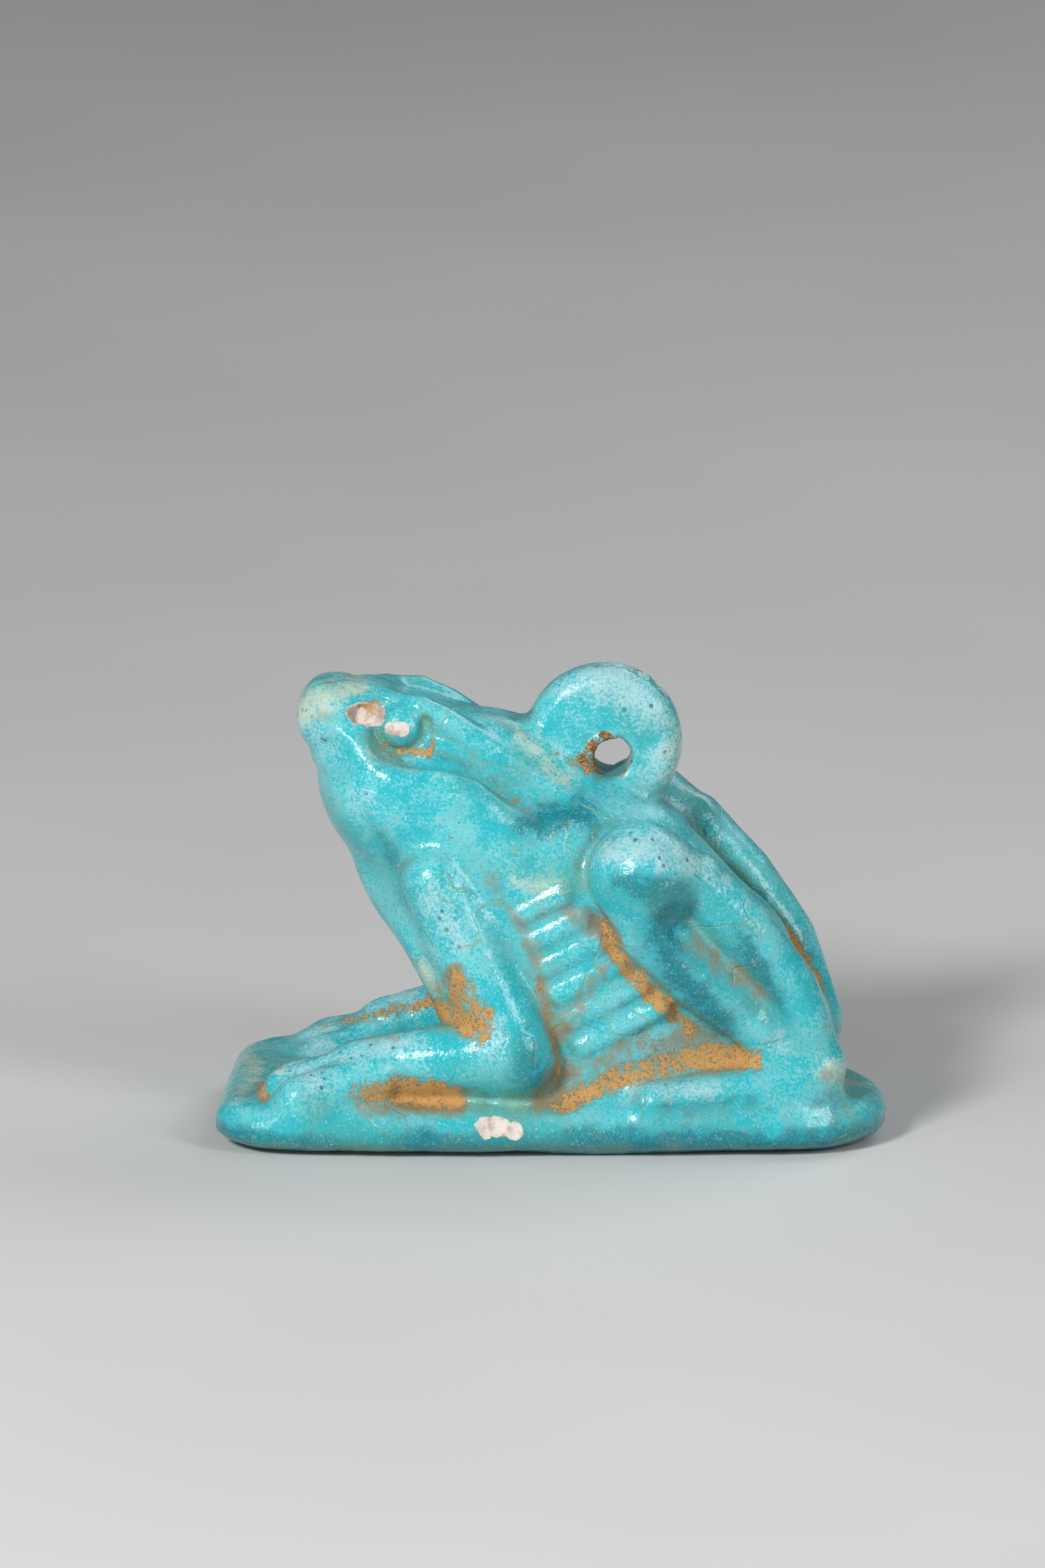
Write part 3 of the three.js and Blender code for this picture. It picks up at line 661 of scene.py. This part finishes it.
class Shade:
    """A material whose nodes are made by short calls. Its patterns are measured in millimetres."""

    def __init__(self, name):
        self.material = bpy.data.materials.new(name)
        self.material.use_nodes = True
        self.tree = self.material.node_tree
        self.surface = self.tree.nodes["Principled BSDF"]
        place = self.add("ShaderNodeTexCoord").outputs["Object"]
        self.place = self.add("ShaderNodeVectorMath", {0: place, 3: 1 / MM}, operation="SCALE").outputs[0]

    def feed(self, socket, value):
        if isinstance(value, bpy.types.NodeSocket):
            self.tree.links.new(value, socket)
        else:
            socket.default_value = value

    def add(self, kind, inputs=None, **settings):
        made = self.tree.nodes.new(kind)
        for key, value in settings.items():
            setattr(made, key, value)
        for key, value in (inputs or {}).items():
            self.feed(made.inputs[key], value)
        return made

    def mask(self, name):
        return self.add("ShaderNodeAttribute", attribute_name=name).outputs["Fac"]

    def moved(self, offset):
        return self.add("ShaderNodeVectorMath", {0: self.place, 1: offset}, operation="ADD").outputs[0]

    def noise(self, size, detail=3, roughness=0.55, offset=(0, 0, 0)):
        inputs = {"Vector": self.moved(offset), "Scale": 1 / size, "Detail": detail, "Roughness": roughness}
        return self.add("ShaderNodeTexNoise", inputs).outputs["Fac"]

    def cells(self, size, feature="F1", offset=(0, 0, 0), vector=None):
        inputs = {"Vector": vector or self.moved(offset), "Scale": 1 / size}
        return self.add("ShaderNodeTexVoronoi", inputs, feature=feature)

    def sum(self, *values):
        total = values[0]
        for value in values[1:]:
            total = self.add("ShaderNodeMath", {0: total, 1: value}, operation="ADD").outputs[0]
        return total

    def times(self, *values):
        product = values[0]
        for value in values[1:]:
            product = self.add("ShaderNodeMath", {0: product, 1: value}, operation="MULTIPLY").outputs[0]
        return product

    def weighed(self, *terms):
        """The sum of values, each times its weight."""
        return self.sum(*[self.times(value, weight) for value, weight in terms])

    def step(self, value, low, high, bottom=0.0, top=1.0):
        """A value that runs smoothly from bottom to top while the input runs from low to high."""
        inputs = {"Value": value, "From Min": low, "From Max": high, "To Min": bottom, "To Max": top}
        return self.add("ShaderNodeMapRange", inputs, interpolation_type="SMOOTHSTEP").outputs["Result"]

    def swing(self, value):
        """A noise about zero."""
        return self.sum(value, -0.5)

    def blend(self, below, above, amount):
        return self.add("ShaderNodeMix", {0: amount, 6: below, 7: above}, data_type="RGBA").outputs[2]

    def bend(self, size):
        """A vector that wanders by up to half a millimetre, to bend straight lines."""
        wander = self.add("ShaderNodeTexNoise", {"Vector": self.place, "Scale": 1 / size, "Detail": 2.0})
        about_zero = {0: wander.outputs["Color"], 1: (0.5,) * 3}
        return self.add("ShaderNodeVectorMath", about_zero, operation="SUBTRACT").outputs[0]

    def dots(self, size, radius, rarity, offset=(0, 0, 0)):
        """Round dots, of which only some cells of that size hold one."""
        cells = self.cells(size, offset=offset)
        here = self.step(cells.outputs["Color"], rarity, rarity + 0.02)
        return self.times(self.step(cells.outputs["Distance"], radius, radius * 0.6), here)

    def layer(self, below, colour, amount):
        """A colour laid over what is below."""
        return self.blend(below, (*colour, 1), amount)


# Colours and finish of glaze, paste and earth
TURQUOISE = (0.02, 0.42, 0.48)
LIGHT_GLAZE = (0.23, 0.63, 0.65)
# Dark teal of glaze gathered in hollows, also used for painted shade.
DEEP_GLAZE_AND_SHADE = (0.0, 0.175, 0.22)
GREEN_GLAZE = (0.055, 0.33, 0.30)
MILKY_GLAZE = (0.40, 0.60, 0.63)
SAND_GLAZE = (0.52, 0.61, 0.48)
OLIVE = (0.20, 0.30, 0.13)
QUARTZ = (0.78, 0.88, 0.88)
PINHOLE = (0.02, 0.09, 0.09)
EARTH = (0.61, 0.34, 0.115)
DARK_EARTH = (0.20, 0.075, 0.022)
PASTE = (0.82, 0.74, 0.68)
PASTE_SHADE = (0.55, 0.40, 0.32)
FILM_BROWN = (0.26, 0.17, 0.075)
GLAZE_ROUGHNESS = 0.15
EARTH_ROUGHNESS = 0.9
GLAZE_SPECULAR = 0.4
RELIEF_STRENGTH = 0.7
RELIEF_DEPTH = 0.1 * MM


def clear_glaze(s, hollow, ridge, deep_and_shade, mottle, grain):
    """Turquoise with a pale grain, darker where the glaze gathered in hollows and where shade is painted,
    and lighter where it ran thin over edges.
    """
    cloud = s.swing(s.noise(2.0, 4, 0.55))
    light = s.weighed((cloud, 1.8), (mottle, 1.0), (grain, 2.2))
    colour = s.layer((*TURQUOISE, 1), LIGHT_GLAZE, s.step(light, -0.3, 0.5))
    pooled_and_shaded = s.weighed((hollow, 0.75), (deep_and_shade, 0.75), (mottle, 1.2), (cloud, 1.5), (grain, 1.6))
    # Hollows darken as gathered glaze; the shade mask adds painted shade in the same dark teal.
    colour = s.layer(colour, DEEP_GLAZE_AND_SHADE, s.step(pooled_and_shaded, 0.12, 0.75, 0, 0.95))
    green = s.noise(3.0, 3, 0.5, (21, 9, 4))
    colour = s.layer(colour, GREEN_GLAZE, s.step(green, 0.45, 0.7, 0, 0.5))
    thin = s.weighed((ridge, 0.9), (deep_and_shade, -0.7), (mottle, 0.8))
    return s.layer(colour, LIGHT_GLAZE, s.step(thin, 0.25, 0.8, 0, 0.6))


def stained(s, colour, hollow, ridge, mottle, grain):
    """A colour with sandy patches and olive stains over it."""
    sand = s.weighed((s.mask("sand"), 1), (mottle, 1.4), (grain, 1.8))
    colour = s.layer(colour, SAND_GLAZE, s.step(sand, 0.2, 1.1, 0, 0.85))
    stain = s.weighed((s.noise(1.7, 4, 0.6, (2, 17, 8)), 1), (hollow, 0.5), (ridge, 0.15))
    return s.layer(colour, OLIVE, s.step(stain, 0.62, 0.95, 0, 0.45))


def craze_lines(s):
    """One on thin, bent and broken lines, and zero beside them."""
    bent = s.add("ShaderNodeVectorMath", {0: s.place, 1: s.bend(1.6)}, operation="ADD").outputs[0]
    edge = s.cells(4.2, "DISTANCE_TO_EDGE", vector=bent).outputs["Distance"]
    whole = s.step(s.noise(1.5, 2, 0.5, (5, 5, 31)), 0.45, 0.6)
    return s.times(s.step(edge, 0.014, 0.0), whole)


def paste_colour(s):
    """Pale paste with rosy shade in its grain, where the glaze is gone."""
    return s.layer((*PASTE, 1), PASTE_SHADE, s.step(s.noise(0.3, 4, 0.65, (8, 8, 1)), 0.46, 0.72))


def earth_colour(s, strewn, grain):
    """Ochre where it lies thick, and dark at its edges, in specks and round the hole."""
    tone = s.weighed((strewn, 0.6), (grain, 2.3), (s.mask("crust"), -0.4))
    colour = s.layer((*DARK_EARTH, 1), EARTH, s.step(tone, 0.0, 0.5))
    return s.layer(colour, DARK_EARTH, s.times(s.dots(0.14, 0.25, 0.75, (2, 8, 2)), 0.6))


def glaze_material():
    """Glaze with its patches, stains, pinholes and chips, and earth in its hollows."""
    s = Shade("glaze")
    hollow, ridge, pale, deep_and_shade = s.mask("hollow"), s.mask("ridge"), s.mask("pale"), s.mask("deep_and_shade")
    dirt = s.mask("dirt")
    chip = s.step(s.mask("chip"), 0.4, 0.6)
    mottle = s.swing(s.noise(0.6, 4, 0.6, (7, 3, 1)))
    grain = s.swing(s.noise(0.11, 4, 0.7, (3, 11, 5)))
    smear = s.swing(s.noise(0.45, 6, 0.72, (1, 2, 3)))
    crumbs = s.swing(s.noise(0.42, 9, 0.78, (13, 2, 6)))

    colour = clear_glaze(s, hollow, ridge, deep_and_shade, mottle, grain)
    milk = s.step(s.weighed((pale, 1), (ridge, 0.25), (mottle, 1.2), (grain, 2.6)), 0.2, 1.3)
    colour = s.layer(colour, MILKY_GLAZE, s.times(milk, 0.8))
    colour = stained(s, colour, hollow, ridge, mottle, grain)
    craze = craze_lines(s)
    colour = s.layer(colour, OLIVE, s.times(craze, 0.4))
    quartz = s.step(s.noise(0.055, 1, 0.4, (6, 2, 9)), 0.66, 0.74)
    colour = s.layer(colour, QUARTZ, s.times(quartz, 0.35))
    pinholes = s.times(s.dots(0.34, 0.26, 0.55, (4, 4, 4)), s.step(pale, 0.3, 0.9))
    specks = s.dots(0.7, 0.06, 0.7, (9, 1, 2))
    colour = s.layer(colour, PINHOLE, s.weighed((pinholes, 0.7), (specks, 0.8)))
    colour = s.blend(colour, paste_colour(s), chip)

    smeared = s.weighed((s.mask("film"), 1), (dirt, 0.7), (hollow, 0.5), (smear, 2.6), (grain, 1.2))
    film = s.times(s.step(smeared, 0.55, 1.5), s.sum(1.0, s.times(chip, -0.4)))
    colour = s.layer(colour, FILM_BROWN, s.times(film, 0.75))
    strewn = s.weighed((dirt, 0.72), (crumbs, 2.6), (grain, 1.3), (hollow, 0.3))
    earth = s.step(strewn, 0.55, 0.75)
    colour = s.blend(colour, earth_colour(s, strewn, grain), earth)
    s.feed(s.surface.inputs["Base Color"], colour)

    covered = s.step(s.sum(earth, chip), 0, 1)
    glossy = s.sum(GLAZE_ROUGHNESS, s.weighed((film, 0.4), (milk, 0.2), (grain, 0.2)))
    finish = s.add("ShaderNodeMix", {0: covered, 2: glossy, 3: EARTH_ROUGHNESS}, data_type="FLOAT")
    s.feed(s.surface.inputs["Roughness"], finish.outputs[0])
    s.surface.inputs["Specular IOR Level"].default_value = GLAZE_SPECULAR

    crumbly = s.times(covered, s.sum(0.3, s.times(crumbs, 2.0)))
    relief = s.weighed((mottle, 0.8), (grain, 0.08), (pinholes, -0.9), (crumbly, 1), (craze, -0.3))
    bump_inputs = {"Strength": RELIEF_STRENGTH, "Distance": RELIEF_DEPTH, "Height": relief}
    s.feed(s.surface.inputs["Normal"], s.add("ShaderNodeBump", bump_inputs).outputs[0])
    return s.material


# Floor, lights (place, size and power) and sky, in metres and watts
FLOOR_TONE = (0.62, 0.62, 0.61)
FLOOR_LIGHT_TONE = (0.66, 0.66, 0.65)
FLOOR_ROUGHNESS = 0.75
FLOOR_HALF_SIZE = 0.6
LIGHTS = {
    "key": ((-0.13, -0.21, 0.15), (0.05, 0.05), 0.68),
    "spark": ((-0.22, -0.24, 0.06), (0.03, 0.03), 0.14),
    "fill": ((0.2, -0.16, 0.14), (0.08, 0.12), 0.28),
    "back": ((0.14, 0.14, 0.2), (0.2, 0.1), 0.2),
}
LIGHT_AIM = (0, 0, 0.008)
SKY_COLOUR = (0.8, 0.85, 0.9, 1)
SKY_STRENGTH = 0.14


def floor_material():
    s = Shade("floor")
    tone = s.step(s.noise(40, 3, 0.5), 0.3, 0.7)
    s.feed(s.surface.inputs["Base Color"], s.layer((*FLOOR_TONE, 1), FLOOR_LIGHT_TONE, tone))
    s.surface.inputs["Roughness"].default_value = FLOOR_ROUGHNESS
    return s.material


def make_floor():
    half = FLOOR_HALF_SIZE
    corners = [(-half, -half, 0), (half, -half, 0), (half, half, 0), (-half, half, 0)]
    mesh = bpy.data.meshes.new("floor")
    mesh.from_pydata(corners, [], [(0, 1, 2, 3)])
    mesh.materials.append(floor_material())
    floor = bpy.data.objects.new("floor", mesh)
    bpy.context.collection.objects.link(floor)


def make_camera():
    elevation, roll = math.radians(CAMERA_ELEVATION), math.radians(CAMERA_ROLL)
    right = Vector((1, 0, 0))
    up = Vector((0, math.sin(elevation), math.cos(elevation)))
    back = right.cross(up)
    centre = (right * AIM[0] + up * AIM[1]) * MM
    rolled_right = right * math.cos(roll) + up * math.sin(roll)
    rolled_up = -right * math.sin(roll) + up * math.cos(roll)
    turn = Matrix((rolled_right, rolled_up, back)).transposed().to_4x4()
    data = bpy.data.cameras.new("camera")
    data.sensor_fit = "VERTICAL"
    data.sensor_height = SENSOR_HEIGHT
    data.lens = SENSOR_HEIGHT * CAMERA_DISTANCE / (FRAME_HEIGHT * MM)
    data.clip_start = NEAREST_SEEN
    camera = bpy.data.objects.new("camera", data)
    camera.matrix_world = Matrix.Translation(centre + back * CAMERA_DISTANCE) @ turn
    bpy.context.collection.objects.link(camera)
    bpy.context.scene.camera = camera


def area_light(name, place, size, power):
    data = bpy.data.lights.new(name, "AREA")
    data.shape = "RECTANGLE"
    data.size, data.size_y = size
    data.energy = power
    light = bpy.data.objects.new(name, data)
    light.location = place
    aim = Vector(LIGHT_AIM) - Vector(place)
    light.rotation_euler = aim.to_track_quat("-Z", "Y").to_euler()
    bpy.context.collection.objects.link(light)


def make_lights():
    for name, (place, size, power) in LIGHTS.items():
        area_light(name, place, size, power)
    world = bpy.data.worlds.new("world")
    world.use_nodes = True
    sky = world.node_tree.nodes["Background"]
    sky.inputs["Color"].default_value = SKY_COLOUR
    sky.inputs["Strength"].default_value = SKY_STRENGTH
    bpy.context.scene.world = world


make_camera()
make_floor()
make_lights()
frog = make_frog()
frog.data.materials.append(glaze_material())
bpy.context.scene.view_settings.view_transform = "Standard"
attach(frog, "root")
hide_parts("frog_amulet")
